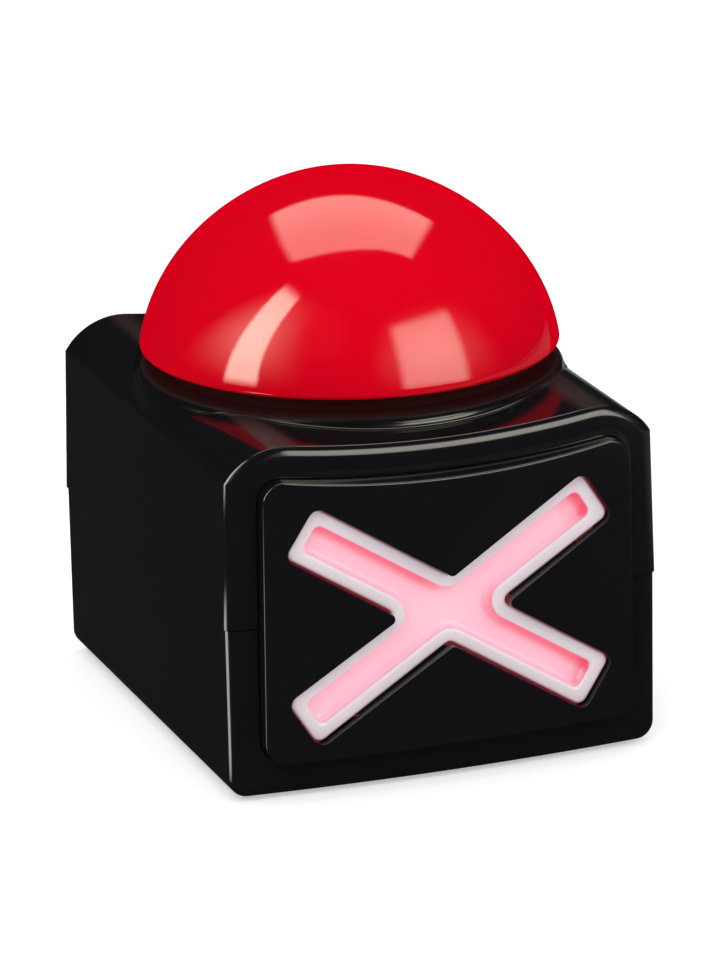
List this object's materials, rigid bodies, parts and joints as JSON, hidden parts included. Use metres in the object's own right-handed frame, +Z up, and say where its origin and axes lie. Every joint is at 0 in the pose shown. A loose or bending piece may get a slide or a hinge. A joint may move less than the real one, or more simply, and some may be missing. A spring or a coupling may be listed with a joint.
{
  "type": "quiz buzzer",
  "caption": "Quiz buzzer: a glossy black two-part housing with a lit cross in its front plate and a large sprung red press dome above a round collar.",
  "frame": {"origin": "on the surface that the buzzer stands on, below the middle of its bounding box", "axes": "+Z up through the dome, -Y towards the front plate with the cross, +X to the right of someone facing the front"},
  "size_m": [0.12, 0.1422, 0.1474],
  "materials": {
    "black_gloss_plastic": "high gloss moulded",
    "red_gloss_plastic": "high gloss moulded",
    "pink_lens_plastic": "satin, lets light through",
    "white_plastic": "matt",
    "dark_plastic": "matt",
    "red_led_plastic": "clear tinted",
    "circuit_board": "satin lacquer",
    "plated_steel": "zinc plated",
    "magnet_steel": "matt",
    "speaker_paper": "pressed paper",
    "battery_can": "wrapped in printed film",
    "foot_rubber": "matt",
    "lead_insulation": "satin"
  },
  "bodies": {
    "housing": {"top_housing": "black_gloss_plastic", "bottom_housing": "black_gloss_plastic", "front_plate": "black_gloss_plastic", "cross_lens": "pink_lens_plastic", "light_box": "white_plastic", "cross_led_board": "circuit_board", "cross_led_1": "red_led_plastic", "cross_led_2": "red_led_plastic", "cross_led_3": "red_led_plastic", "cross_led_4": "red_led_plastic", "cross_led_5": "red_led_plastic", "return_spring_1": "plated_steel", "return_spring_2": "plated_steel", "return_spring_3": "plated_steel", "return_spring_4": "plated_steel", "main_board": "circuit_board", "push_switch_body": "dark_plastic", "sound_chip": "dark_plastic", "board_screw_1": "plated_steel", "board_screw_2": "plated_steel", "speaker_frame": "plated_steel", "speaker_cone": "speaker_paper", "speaker_magnet": "magnet_steel", "battery_1": "battery_can", "battery_2": "battery_can", "battery_3": "battery_can", "battery_contact_1": "plated_steel", "battery_contact_2": "plated_steel", "battery_contact_3": "plated_steel", "battery_contact_4": "plated_steel", "power_switch_body": "plated_steel", "housing_screw_1": "plated_steel", "housing_screw_2": "plated_steel", "housing_screw_3": "plated_steel", "housing_screw_4": "plated_steel", "foot_1": "foot_rubber", "foot_2": "foot_rubber", "foot_3": "foot_rubber", "foot_4": "foot_rubber", "speaker_lead": "lead_insulation", "battery_lead": "lead_insulation", "light_lead": "lead_insulation"},
    "dome": {"dome_button": "red_gloss_plastic", "dome_carrier": "dark_plastic", "dome_screw_1": "plated_steel", "dome_screw_2": "plated_steel", "dome_screw_3": "plated_steel", "stop_screw_1": "plated_steel", "stop_screw_2": "plated_steel", "stop_screw_3": "plated_steel", "stop_screw_4": "plated_steel"},
    "switch_plunger": {"push_switch_plunger": "white_plastic"},
    "battery_door": {"battery_door": "black_gloss_plastic"},
    "power_knob": {"power_switch_knob": "dark_plastic"}
  },
  "joints": [
    {"name": "dome_press", "type": "slide", "parent": "housing", "child": "dome", "axis": [0, 0, -1], "range_m": [0, 0.0035], "stiffness_N_per_m": 600, "springref_m": -0.006, "deforming": ["return_spring_1", "return_spring_2", "return_spring_3", "return_spring_4"]},
    {"name": "push_switch_travel", "type": "slide", "parent": "housing", "child": "switch_plunger", "axis": [0, 0, -1], "range_m": [0, 0.0035]},
    {"name": "battery_door_slide", "type": "slide", "parent": "housing", "child": "battery_door", "axis": [0, 1, 0], "range_m": [0, 0.052]},
    {"name": "power_switch_slide", "type": "slide", "parent": "housing", "child": "power_knob", "axis": [0, 1, 0], "range_m": [0, 0.004]}
  ],
  "couplings": [
    {"joint": "push_switch_travel", "follows": "dome_press", "ratio": 1}
  ]
}
